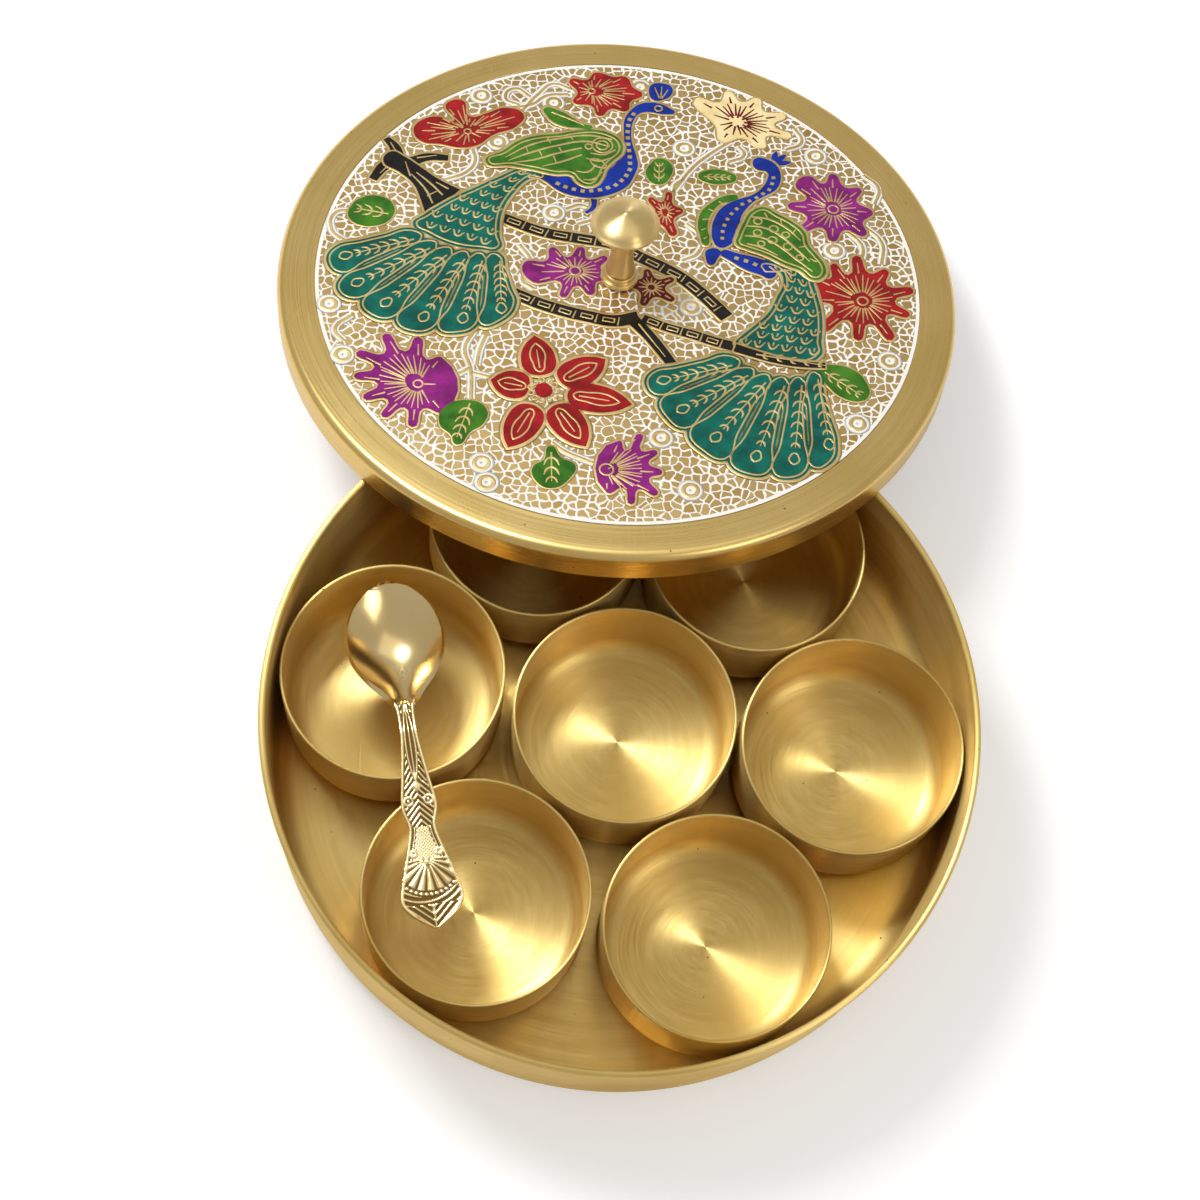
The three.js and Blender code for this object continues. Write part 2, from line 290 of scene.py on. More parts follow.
def enamel_ground_material():
    """Gold cells between white enamel lines, with a white line round the edge."""
    material, tree, shader = new_material("enamel net on gold")
    place = node(tree, "TexCoord")["Object"]
    values = {0: place, "Location": LID_CENTRE, "Rotation": (-LID_TILT, 0, 0)}
    flat = node(tree, "Mapping", values, vector_type="TEXTURE")[0]
    wander = {0: noise(tree, flat, 300, 1)["Color"], 1: (0.5, 0.5, 0.5)}
    wander = vectors(tree, "SCALE", {0: vectors(tree, "SUBTRACT", wander), 3: 2 * MM})
    bent = vectors(tree, "ADD", {0: flat, 1: wander})
    values = {"Vector": bent, "Scale": 330.0, "Randomness": 0.85}
    edges = node(tree, "TexVoronoi", values, voronoi_dimensions="2D", feature="DISTANCE_TO_EDGE")
    cells = node(tree, "TexVoronoi", values, voronoi_dimensions="2D")["Color"]
    half = ranged(tree, noise(tree, flat, 90, 1)[0], 0.35, 0.65, 0.075, 0.13)
    net = ranged(tree, maths(tree, "SUBTRACT", half, edges["Distance"]), -0.012, 0.012)
    squared = [maths(tree, "POWER", part, 2.0) for part in node(tree, "SeparateXYZ", {0: flat})[:2]]
    reach = maths(tree, "SQRT", maths(tree, "ADD", *squared))
    ring_start = (ENAMEL.radius - ENAMEL.ring) * MM
    enamel = maths(tree, "MAXIMUM", net, ranged(tree, reach, ring_start, ring_start + 0.1 * MM))
    bare = maths(tree, "SUBTRACT", 1.0, enamel)
    gold = blended(tree, node(tree, "SeparateColor", {0: cells})[0], *map(paint, GROUND_GOLD))
    values = {
        "Base Color": blended(tree, enamel, gold, paint(NET_WHITE)),
        "Metallic": bare,
        "Roughness": ranged(tree, enamel, 0, 1, 0.36, 0.2),
        "Normal": node(tree, "Bump", {"Height": bare, "Distance": 0.08 * MM})[0],
    }
    connect(tree, shader, values)
    return material


GOLD = toned("gold of the ornament", ORNAMENT_GOLD, {"Metallic": 1, "Roughness": 0.38})
GLOSSY = {"Roughness": 0.22, "Specular IOR Level": 0.3}
ENAMELS = {name: toned(name + " enamel", tones, GLOSSY) for name, tones in ENAMEL_PAINTS.items()}


# Modelling


def chosen_alone(piece):
    bpy.ops.object.select_all(action="DESELECT")
    piece.select_set(True)
    bpy.context.view_layer.objects.active = piece


def at_height(height, radii):
    return [(radius, height) for radius in radii]


def at_radius(radius, heights):
    return [(radius, height) for height in heights]


def arc(centre_r, centre_z, radius, start, end, steps=8):
    """Points of an arc in a profile, angles in degrees."""
    angles = [math.radians(start + (end - start) * step / steps) for step in range(steps + 1)]
    return [(centre_r + radius * math.cos(a), centre_z + radius * math.sin(a)) for a in angles]


def with_turning_map(piece, profile):
    """A UV map with the angle round the axis along U and the way along the profile along V."""
    mesh = piece.data
    spots = np.array([v.co for v in mesh.vertices])
    reach = np.hypot(spots[:, 0], spots[:, 1])
    angle = np.arctan2(spots[:, 1], spots[:, 0])
    line = np.array(profile) * MM
    length = np.concatenate([[0], np.cumsum(np.linalg.norm(np.diff(line, axis=0), axis=1))])
    off = (reach[:, None] - line[None, :, 0]) ** 2 + (spots[:, 2][:, None] - line[None, :, 1]) ** 2
    along = length[np.argmin(off, axis=1)]
    layer = mesh.uv_layers.new(name="turning")
    for face in mesh.polygons:
        middle = math.atan2(face.center.y, face.center.x)
        for loop in face.loop_indices:
            vertex = mesh.loops[loop].vertex_index
            step = (angle[vertex] - middle + math.pi) % TURN - math.pi
            turn = middle if reach[vertex] < 1e-7 else middle + step
            layer.data[loop].uv = (turn / TURN, along[vertex])


def turned(name, profile, steps, sharp=40):
    """A turned piece: its profile, from the axis and from its foot, is spun round Z."""
    bpy.ops.mesh.primitive_plane_add(size=MM)
    piece = bpy.context.object
    piece.name = name
    bpy.ops.object.mode_set(mode="EDIT")
    bpy.ops.mesh.merge(type="CENTER")
    bpy.ops.transform.translate(value=(profile[0][0] * MM, 0, profile[0][1] * MM))
    for (from_r, from_z), (to_r, to_z) in zip(profile, profile[1:]):
        move = {"value": ((to_r - from_r) * MM, 0, (to_z - from_z) * MM)}
        bpy.ops.mesh.extrude_vertices_move(TRANSFORM_OT_translate=move)
    bpy.ops.mesh.select_all(action="SELECT")
    bpy.ops.mesh.spin(steps=steps, angle=TURN, center=(0, 0, 0), axis=(0, 0, 1))
    bpy.ops.mesh.select_all(action="SELECT")
    bpy.ops.mesh.remove_doubles(threshold=TURNED_MERGE * MM)
    bpy.ops.mesh.normals_make_consistent(inside=False)
    bpy.ops.object.mode_set(mode="OBJECT")
    bpy.ops.object.shade_smooth_by_angle(angle=math.radians(sharp))
    with_turning_map(piece, profile)
    return piece


def finished(piece, material, body, place, replaced):
    """The piece gets its place, its material and what it stands for, if anything."""
    piece.data.transform(place)
    piece.data.materials.clear()
    piece.data.materials.append(material)
    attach(piece, body)
    if replaced:
        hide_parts(replaced)


def on_lid(piece, material, height, replaced=None):
    """Finishes a piece of the leaning lid, whose own zero lies that high above the lid's foot."""
    place = LID_PLACE @ Matrix.Translation((0, 0, height * MM))
    finished(piece, material, "lid", place, replaced)


# The tray and its cups


def make_tray(material):
    wall = TRAY.radius - TRAY.standout
    inner = wall - TRAY.sheet
    outer_corner = TRAY.corner + TRAY.sheet
    bead_r = TRAY.radius - TRAY.bead
    bead_from = -math.degrees(math.acos((wall - bead_r) / TRAY.bead))
    bead_to = 360 - math.degrees(math.acos((inner - bead_r) / TRAY.bead))
    profile = at_height(0, (0, 20, 40, 60, 80, 95))
    profile += arc(wall - outer_corner, outer_corner, outer_corner, -90, 0)
    profile += at_radius(wall, (16, 26, 36))
    profile += arc(bead_r, TRAY.height - TRAY.bead, TRAY.bead, bead_from, bead_to, 16)
    profile += at_radius(inner, (36, 26, 16))
    profile += arc(inner - TRAY.corner, outer_corner, TRAY.corner, 0, -90)
    profile += at_height(TRAY.sheet, (95, 80, 60, 40, 20, 0))
    tray = turned("tray_turned", profile, 224)
    finished(tray, material, "tray", Matrix(), "tray")


def make_cups(material):
    corner_r = CUP.radius - CUP.corner
    half_sheet = CUP.sheet / 2
    profile = at_height(0, (0, 10, 20))
    profile += arc(corner_r, CUP.corner, CUP.corner, -90, 0)
    profile += at_radius(CUP.radius, (16, 25))
    profile += arc(CUP.radius - half_sheet, CUP.height - half_sheet, half_sheet, 0, 180)
    profile += at_radius(CUP.radius - CUP.sheet, (25, 16))
    profile += arc(corner_r, CUP.corner, CUP.corner - CUP.sheet, 0, -90)
    profile += at_height(CUP.sheet, (24, 18, 12, 6, 0))
    first = turned("cup_turned", profile, 128)
    for count, (name, (x, y)) in enumerate(CUP_PLACES.items()):
        chosen_alone(first)
        bpy.ops.object.duplicate()
        cup = bpy.context.object
        cup.name = name + "_turned"
        stand = Matrix.Translation((x * MM, y * MM, CUP.seat * MM))
        spun = Matrix.Rotation(math.radians(CUP_TURN * count), 4, "Z")
        finished(cup, material, name, stand @ spun, name)
    bpy.data.objects.remove(first)


# The lid with its knob


def make_lid_shell(material):
    under = LID.height - LID.plate
    floor = LID.height - LID.recess
    recess = ENAMEL.radius + 0.3
    fillet, lip, bevel = 1.4, 0.25, 0.15
    profile = at_height(under, (BORE, 20, 40, 60, 80, 100))
    profile += arc(LID.inner - fillet, under - fillet, fillet, 90, 0, 5)
    profile += [(LID.inner, lip), (LID.inner + lip, 0), (LID.outer - lip, 0), (LID.outer, lip)]
    profile += arc(LID.outer - LID.edge, LID.height - LID.edge, LID.edge, 0, 90, 10)
    profile += at_height(LID.height, (108, recess + bevel)) + [(recess, LID.height - bevel)]
    profile += at_height(floor, (recess, 80, 60, 40, 20, BORE)) + [(BORE, under)]
    on_lid(turned("lid_turned", profile, 224), material, 0, "lid_shell")


def make_knob(material):
    top = COLLAR.base + COLLAR.step
    step_r = COLLAR.radius - COLLAR.step_in
    round_r, bevel = 0.5, 0.1
    profile = [(BORE, 0), (COLLAR.radius - 0.3, 0), (COLLAR.radius, 0.3)]
    profile += arc(COLLAR.radius - round_r, COLLAR.base - round_r, round_r, 0, 90, 4)
    profile += [(step_r + bevel, COLLAR.base), (step_r, COLLAR.base + bevel)]
    profile += arc(step_r - round_r, top - round_r, round_r, 0, 90, 4)
    profile += [(BORE, top), (BORE, 0)]
    collar = turned("collar_turned", profile, 96)
    on_lid(collar, material, COLLAR.bottom, "knob_collar")

    profile = [(0, 9.6), (BORE, 9.6), (BORE, 0), (4.7, 0), (4.9, 0.2), (4.9, 1.2), (4.5, 3.2)]
    profile += [(4.1, 5.52), (3.93, 8.6), (3.9, 12), (4.1, 14.4), (4.5, 16.6), (5, 18.2), (6, 19.4)]
    profile += [(7.8, 20.5), (9.6, 21.1)] + arc(10.6, 22.2, 1.0, -60, 60)
    for step in range(1, 18):
        angle = math.radians(8 + 82 * step / 18)
        profile.append((10.75 * math.cos(angle), 22.9 + 4.7 * math.sin(angle)))
    profile += [(1.5, 27.56), (1.3, 27.52), (1.15, 27.58), (0.8, 27.78), (0, 27.9)]
    knob = turned("knob_turned", profile, 128, 50)
    on_lid(knob, material, KNOB_BOTTOM, "knob")


def make_fixings(material):
    """The screw and washer under the lid that hold the knob."""
    head_bottom = SCREW.top - SCREW.head_height
    tip = SCREW.top + SCREW.length
    round_r, bevel = 0.6, 0.5
    profile = [(0, head_bottom)]
    profile += arc(SCREW.head - round_r, head_bottom + round_r, round_r, -90, 0, 5)
    profile += at_height(SCREW.top, (SCREW.head, SCREW.radius))
    profile += [(SCREW.radius, tip - bevel), (SCREW.radius - bevel, tip), (0, tip)]
    screw = turned("knob_screw_turned", profile, 64)
    on_lid(screw, material, 0, "knob_screw")
    bevel = 0.2
    profile = at_height(WASHER.bottom, (BORE, WASHER.outer - bevel))
    profile += at_radius(WASHER.outer, (WASHER.bottom + bevel, WASHER.top - bevel))
    profile += at_height(WASHER.top, (WASHER.outer - bevel, BORE)) + [(BORE, WASHER.bottom)]
    washer = turned("knob_washer_turned", profile, 64)
    on_lid(washer, material, 0, "knob_washer")


def make_enamel_ground(material):
    bevel = 0.05
    profile = at_height(ENAMEL.bottom, (ENAMEL.bore, ENAMEL.radius))
    profile += [(ENAMEL.radius, ENAMEL.top - bevel)]
    profile += at_height(ENAMEL.top, (ENAMEL.radius - bevel, 80, 60, 40, 20, ENAMEL.bore))
    profile += [(ENAMEL.bore, ENAMEL.bottom)]
    on_lid(turned("enamel_ground", profile, 192), material, 0, "lid_enamel")


# Drawing on the lid, from its middle, with Y towards its rear edge


def points(*numbers):
    """Points from x and y in turn."""
    return list(zip(numbers[::2], numbers[1::2]))


def paths(*rows):
    return [points(*row) for row in rows]


def towards(start, end, distance):
    """The point at that distance from the first towards the second."""
    step = Vector(end) - Vector(start)
    return Vector(start) + step.normalized() * distance


def between(start, end, share):
    return Vector(start).lerp(Vector(end), share)


def left_of(way):
    return Vector((-way.y, way.x))


def length_of(line):
    return sum((Vector(b) - Vector(a)).length for a, b in zip(line, line[1:]))


def along(line, share):
    """The point at a share of the line's length, and the direction there."""
    spots = [Vector(spot) for spot in line]
    left = share * length_of(line)
    for a, b in zip(spots, spots[1:]):
        length = (b - a).length
        if left <= length or b is spots[-1]:
            return a.lerp(b, left / length), (b - a).normalized()
        left -= length


def pointed(point):
    """The same point marked as a sharp corner of an outline."""
    return (point[0], point[1], "pointed")


def inset(outline, distance):
    """The outline drawn again inside itself."""
    spots = [Vector(point[:2]) for point in outline]
    area = sum(a.x * b.y - b.x * a.y for a, b in zip(spots, spots[1:] + spots[:1]))
    inner = []
    for i, spot in enumerate(spots):
        way = (spots[(i + 1) % len(spots)] - spots[i - 1]).normalized()
        inner.append(spot + left_of(way) * math.copysign(distance, area))
    return inner


def new_curve(name, dimensions, lines, closed, tapered=False):
    """Smooth lines through the points, thinner at their ends if they are tapered."""
    bpy.ops.curve.primitive_bezier_circle_add(radius=MM)
    piece = bpy.context.object
    piece.name = name
    piece.data.dimensions = dimensions
    piece.data.splines.clear()
    for points_of_line in lines:
        line = piece.data.splines.new("BEZIER")
        line.bezier_points.add(len(points_of_line) - 1)
        for spot, point in zip(line.bezier_points, points_of_line):
            spot.co = (point[0] * MM, point[1] * MM, 0)
            spot.handle_left_type = spot.handle_right_type = "VECTOR" if len(point) > 2 else "AUTO"
        if tapered:
            line.bezier_points[0].radius = 0.8
            line.bezier_points[-1].radius = 0.45
        line.use_cyclic_u = closed
        line.resolution_u = 5 if len(points_of_line) > 2 else 2
    return piece


def filled(name, outlines, material, height):
    """Flat plates of enamel inside closed outlines, each a hair above the one before."""
    plates = []
    for count, outline in enumerate(outlines):
        plate = new_curve(name, "2D", [outline], True)
        plate.data.fill_mode = "BOTH"
        plate.data.extrude = PLATE_HALF * MM
        bpy.ops.object.convert(target="MESH")
        plate.data.transform(Matrix.Translation((0, 0, PLATE_STEP * count * MM)))
        plates.append(plate)
    for plate in plates:
        plate.select_set(True)
    if len(plates) > 1:
        bpy.ops.object.join()
    plate.name = name
    on_lid(plate, material, ENAMEL.top + height)


def wires(name, lines, material, width, height, closed=False, tapered=False):
    """Flat rounded lines of that width."""
    piece = new_curve(name, "3D", lines, closed, tapered)
    piece.data.bevel_depth = width / 2 * MM
    piece.data.bevel_resolution = 1
    piece.data.use_fill_caps = True
    bpy.ops.object.convert(target="MESH")
    piece.data.transform(Matrix.Diagonal((1, 1, WIRE_RISE / (width / 2), 1)))
    bpy.ops.object.shade_smooth()
    on_lid(piece, material, ENAMEL.top + height)


def motif(name, layer, colour, shapes, lines=(), rings=(), border=1.25):
    """Coloured enamel with a gold border round each shape and gold lines and rings on it."""
    height = layer * LAYER
    wires(name + "_border", shapes, GOLD, 2 * border, height, closed=True)
    filled(name + "_" + colour, shapes, ENAMELS[colour], height + FILL_RISE)
    if lines:
        wires(name + "_lines", lines, GOLD, 0.95, height + LINE_RISE, tapered=True)
    if rings:
        wires(name + "_rings", rings, GOLD, 0.72, height + LINE_RISE, closed=True)


def ribbon(line, width, end_width):
    """A closed outline round a line, as wide as given at its start and end."""
    spots = [Vector(point) for point in line]
    last = len(spots) - 1
    left, right = [], []
    for i, spot in enumerate(spots):
        way = (spots[min(i + 1, last)] - spots[max(i - 1, 0)]).normalized()
        side = left_of(way) * (width + (end_width - width) * i / last) / 2
        left.append(spot + side)
        right.append(spot - side)
    for side in (left, right):
        side[0], side[-1] = pointed(side[0]), pointed(side[-1])
    return left + right[::-1]


def petal(base, tip, width, start=0.12):
    """A pointed petal's outline."""
    way = Vector(tip) - Vector(base)
    side = left_of(way).normalized() * width / 2
    rows = ((start, 0.3), (0.35, 0.8), (0.6, 1.0), (0.85, 0.62))
    left = [Vector(base) + way * at + side * share for at, share in rows]
    right = [Vector(base) + way * at - side * share for at, share in rows]
    return left + [pointed(tip)] + right[::-1]


def lobes_between(roots, notches, tips, gap):
    """Rounded lobes side by side, each kept the gap away from the lines that part them."""
    lobes = []
    for i, tip in enumerate(tips):
        (foot_a, foot_b), (end_a, end_b) = roots[i : i + 2], notches[i : i + 2]
        foot_a, foot_b = towards(foot_a, foot_b, gap), towards(foot_b, foot_a, gap)
        end_a, end_b = towards(end_a, end_b, gap), towards(end_b, end_a, gap)
        outline = [between(foot_a, end_a, share) for share in (0, 0.35, 0.7, 1)] + [tip]
        lobes.append(outline + [between(foot_b, end_b, share) for share in (1, 0.7, 0.35, 0)])
    return lobes


def petal_veins(centre, tips, start=0.3, end=0.84):
    """A line along the middle of each petal and one on each border between two petals."""
    lines = []
    for count, (tip, after) in enumerate(zip(tips, tips[1:] + tips[:1])):
        lines.append([between(centre, tip, start if count % 2 else 0.6), between(centre, tip, end)])
        border = between(tip, after, 0.5)
        lines.append([between(centre, border, 0.24), between(centre, border, 0.72)])
    return lines


def sprig(start, end, pairs, reach):
    """A stem with pairs of short curved leaves."""
    start, end = Vector(start), Vector(end)
    way = (end - start).normalized()
    lines = [[start, end]]
    for pair in range(pairs):
        share = (pair + 0.5) / pairs
        foot = start.lerp(end, share)
        leaf = reach * (0.55 + 0.45 * math.sin(math.pi * (0.25 + 0.75 * share)))
        for side in (-left_of(way), left_of(way)):
            middle = foot + way * leaf * 0.35 + side * leaf * 0.5
            tip = foot + way * leaf + side * leaf * 0.75
            lines.append([foot, middle, tip])
    return lines


def ring(centre, radius, count=8):
    spots = [math.radians(360 * step / count) for step in range(count)]
    return [(centre[0] + radius * math.cos(a), centre[1] + radius * math.sin(a)) for a in spots]


def squares(path, spacing, size):
    """Small squares along a path."""
    length = length_of(path)
    marks = []
    for count in range(int(length / spacing)):
        spot, way = along(path, (count + 0.5) * spacing / length)
        side = left_of(way)
        corners = ((-1, -1), (1, -1), (1, 1), (-1, 1))
        marks.append([pointed(spot + (way * a + side * b) * size / 2) for a, b in corners])
    return marks


def scales(edge_a, edge_b, rows, wide):
    """Rows of arcs between two edges, like overlapping feathers."""
    arcs = []
    for row in range(rows):
        share = (row + 0.5) / rows
        a, way_a = along(edge_a, share)
        b, way_b = along(edge_b, share)
        growth = (way_a + way_b).normalized()
        count = max(1, round((b - a).length / wide))
        first = 0.5 / count if row % 2 and count > 1 else 0
        for step in range(count - (1 if first else 0)):
            left = a.lerp(b, first + (step + 0.1) / count)
            right = a.lerp(b, first + (step + 0.9) / count)
            arcs.append([left, (left + right) / 2 + growth * wide * 0.5, right])
            foot = (left + right) / 2 - growth * wide * 0.1
            arcs.append([foot, foot + growth * wide * 0.32])
    return arcs


def fan_of(roots, notches, tips):
    """The feathers of a spread tail, the leafy lines on them and the drop near each end."""
    lines, drops = [], []
    for i, tip in enumerate(tips):
        foot = between(roots[i], roots[i + 1], 0.9)
        reach = (Vector(tip) - foot).length
        lines += sprig(towards(foot, tip, 3.5), towards(foot, tip, 0.7 * reach), 6, 3.1)
        eye = towards(foot, tip, 0.8 * reach)
        drops.append(petal(towards(eye, foot, 2.6), towards(eye, tip, 2.4), 3.4, 0.1))
    lobes = lobes_between(roots, notches, tips, 0.25)
    return lobes, lines, drops + [inset(lobe, 1.1) for lobe in lobes]


# The ornament of the lid


def left_peacock():
    upper = points(-31, 50, -42, 44.6, -50, 39.3, -55.4, 35.8, -60.7, 31.7, -66.8, 26.3, -70.6, 21.7)
    lower = points(
        -24.5, 46.5, -29.4, 45.2, -33, 42.3, -36, 37.7, -39, 31.7, -40.5, 25.5, -40.8, 18, -40.6, 11.5,
    )
    collar = points(-65.5, 17.2, -60.7, 14.2, -54.6, 11.9, -47.5, 11)
    train = upper + collar + lower[::-1]
    lines = scales(upper, lower, 8, 4.6)
    roots = points(-71.6, 20, -66.2, 15.4, -61, 12.5, -55.8, 10.3, -50.4, 9.4, -45.2, 9.2, -40.2, 9.4)
    notches = points(
        -96.3, 11, -94, -2.5, -87.5, -13.5, -76, -21.5, -61.8, -25, -47.6, -23, -34.6, -12.5,
    )
    tips = points(-99.3, 4, -95, -10, -84, -20, -69.5, -27, -54.5, -27, -39.8, -21)
    lobes, on_lobes, rings = fan_of(roots, notches, tips)
    motif("left_peacock_tail", 1, "teal", lobes, on_lobes, rings, 1.3)
    motif("left_peacock_train", 1, "teal", [train], lines, [inset(train, 1.3)])
    breast = points(
        -26.7, 46.5, -24, 43, -20, 39.3, -14, 37, -8.7, 36.6, -3.4, 38, 0.5, 40, 4, 43, 6.3, 47.7,
        7.8, 53, 7.4, 57, 5.9, 65, 5.9, 70, 6.7, 74.4, 8.6, 78, 11.6, 79.4, 18.5, 78.6, 21.8, 79.6,
        20, 81.7, 17, 83.6, 13.2, 84.3, 9.3, 83.2, 5.9, 79.8, 3.6, 75.2, 3.2, 70, 3.2, 63.7, 2.8, 60,
        0.9, 55.3, -2, 51, -14, 46.5,
    )
    path = points(
        -22, 43.5, -17, 40.8, -11, 39.4, -5, 40.6, -0.5, 42.8, 3, 46.5, 5, 51, 5, 57, 4.6, 63, 4.5, 69,
        5.1, 74.5, 7.6, 79.4,
    )
    motif("left_peacock_breast", 1, "blue", [breast], border=1.0)
    filled("left_peacock_breast_marks", squares(path, 3.1, 1.5), GOLD, LAYER + MARK_RISE)
    wing = points(
        -46, 52, -40, 57.6, -34, 63, -27.8, 65.6, -20, 67, -12.6, 69, -6.4, 69.4, -1, 67.5, 2, 64.5,
        2.4, 59, -1, 54.5, -3.7, 50.7, -5.3, 46, -7.2, 43, -10.2, 42, -13.7, 44, -15.6, 47, -21.7, 47.3,
        -28.6, 49, -36.7, 50.5,
    )
    leaf = points(
        -25, 79.5, -20, 78.4, -15.5, 75.5, -12, 72.4, -8, 70.6, -13, 70.2, -20, 71.5, -23.8, 75,
    )
    lines = paths(
        [-1, 65, -9, 66.6, -20, 64.6, -30, 61, -39, 54.5],
        [-2, 61.5, -10, 63.6, -21, 61, -31, 56.8, -38, 53],
        [-12, 60.4, -20, 57.6, -29, 53.8, -36, 52.2], [-12, 57, -19, 53.4, -26, 50.8],
        [-5, 49, -8, 45.4, -11.6, 45], [-7, 52.4, -10, 48.8, -14, 49], [0, 60, -4, 57.5, -9, 58],
        [-1.5, 56, -6, 54.3, -10.5, 55.4], [-16, 66, -15, 64.2], [-24, 64.6, -23, 62],
        [-32, 60.4, -31, 57.6], [-20, 60.2, -19, 58], [-27, 58.2, -26, 55.6], [-22, 56, -21, 52.6],
        [-22.5, 77.5, -16, 74.4, -11, 71.6],
    )
    rings = [ring((-4.6, 62), 2.1), ring((-9.5, 61.2), 1.2, 6), petal((-3, 51), (-9, 55), 3.4)]
    rings += [inset(wing, 1.3), ring((-4.6, 62), 3.6, 10)]
    motif("left_peacock_wing", 2, "green", [wing, leaf], lines, rings)
    crest = points(14.5, 85.5, 12.8, 89.5, 14.2, 93.5, 18, 94.2, 21.2, 92.4, 20.6, 88, 18, 86)
    lines = paths([16.5, 86.5, 15, 92], [17, 86.5, 17.6, 92.6], [17.4, 86.5, 19.8, 91])
    motif("left_peacock_crest", 1, "blue", [crest], lines, [ring((16, 81.4), 1.3, 6)], 0.9)
    legs = [ribbon([(-8, 36), (-8.4, 32), (-11, 29.4)], 2.2, 1.2)]
    motif("left_peacock_leg", 1, "blue", legs, border=0.9)


def right_peacock():
    left = points(49, 8.5, 54.4, 6, 56.3, 1, 53.7, -6.3, 50, -14, 45.3, -19.3, 40.7, -24, 38.4, -27.5)
    right = points(66.5, 6, 66.4, 2, 67.4, -4.7, 68.4, -12.4, 68.2, -20, 67.4, -26, 67, -31.5)
    collar = points(43, -31.5, 50.5, -35, 58.5, -35.8)
    train = left + collar + right[::-1]
    lines = scales(left, right, 9, 4.8)
    motif("right_peacock_train", 2, "teal", [train], lines, [inset(train, 1.3)])
    roots = points(
        35.6, -31.5, 40.6, -36.4, 45.2, -39.4, 50.2, -41.2, 55.6, -41.8, 60.6, -41, 65.4, -38,
    )
    notches = points(9.8, -39.8, 11.5, -51.5, 20.3, -65, 33, -77, 47, -81.5, 60, -79, 70, -67.5)
    tips = points(7.2, -46, 13.4, -60, 25, -73.6, 39.6, -82.6, 53.8, -83.6, 67.4, -76.4)
    lobes, on_lobes, rings = fan_of(roots, notches, tips)
    motif("right_peacock_tail", 1, "teal", lobes, on_lobes, rings, 1.3)
    head = points(
        48.7, 56, 50.2, 58.4, 53.7, 58, 57, 55.3, 58.3, 51.5, 58, 47, 56, 43, 52, 40, 48.3, 37.4,
        46, 34.7, 43.7, 31, 42.2, 25.5, 40.7, 20, 38.4, 16.4, 35, 15.2, 33, 18, 32.6, 23, 33.8, 28.6,
        36.8, 34, 42.2, 37.8, 48.3, 40.8, 51.4, 44, 53.3, 47.7, 53.7, 51.5, 49.8, 53,
    )
    belly = points(
        35.3, 13.3, 42.2, 12.5, 49.9, 10.2, 53.7, 8, 54.4, 5.7, 52, 1.8, 48.3, 3.4, 43.7, 5.3,
        39.2, 8.7,
    )
    leg = points(30.7, 14, 30, 10.2, 31.5, 7, 34, 10, 34.9, 14)
    path = points(36, 18, 36.5, 24, 39, 30, 43.5, 35.5, 49, 39, 53.8, 43, 55.8, 48, 55.3, 53)
    marks = squares(path, 3.1, 1.3)
    marks += squares([(39, 11), (45, 9), (51, 5.6)], 3.4, 1.5)
    motif("right_peacock_neck", 2, "blue", [head, belly, leg], border=1.0)
    filled("right_peacock_neck_marks", marks, GOLD, 2 * LAYER + MARK_RISE)
    back = points(
        30.4, 16, 28.4, 21, 28, 26.5, 29.6, 32, 33.5, 36.4, 38.5, 39.6, 42.6, 39.4, 36, 35.4,
        32.6, 30.4, 31.2, 24.5, 31.6, 18.6,
    )
    lines = paths(
        [29.6, 19, 31, 20], [29, 23, 30.8, 24], [29.6, 28, 31.8, 28.4], [32, 33, 34, 32],
        [35.8, 36.8, 37.4, 35.4],
    )
    motif("right_peacock_back", 2, "green", [back], lines, border=1.1)
    wing = points(
        51.4, 34.7, 56, 31.7, 60.6, 28.6, 65.2, 23.3, 66, 18, 68.6, 13.3, 71, 8.7, 70.8, 4, 67.2, 1.6,
        62.4, 5.7, 57.5, 8, 50.4, 12.4, 44.2, 15, 41, 17, 41.6, 21, 43.9, 27, 46.8, 32.4,
    )
    lines = paths(
        [47, 30, 53, 29, 59, 25, 63.4, 19.6], [45, 25.6, 51, 25, 57, 21, 61.6, 15.6, 66, 10],
        [44, 21, 50, 20.4, 56, 16.4, 61, 11.2, 66.6, 5.4], [44.6, 17.4, 50, 15.6, 55, 12.4],
        [51.6, 32, 52.6, 29.6], [57, 29, 57.4, 26.6], [62, 24.6, 60.6, 22.4], [65, 17, 62.6, 16.4],
        [68.4, 10, 66, 11.4],
    )
    dots = [(49, 28, 1.4), (54.4, 24.6, 1.5), (48.6, 22.6, 1.4), (53.6, 19.4, 1.5)]
    dots += [(58.8, 16.6, 1.5), (49.6, 17.6, 1.2), (58.4, 22, 1.3), (62.6, 11.6, 1.2)]
    rings = [ring((x, y), radius, 6) for x, y, radius in dots]
    motif("right_peacock_wing", 3, "green", [wing], lines, rings + [inset(wing, 1.3)])
    crest = [petal((55.6, 55.6), tip, 2.2) for tip in ((57.6, 62), (61, 60.6), (62.6, 57))]
    motif("right_peacock_crest", 1, "blue", crest, (), [ring((53.6, 55.6), 1.2, 6)], 0.4)


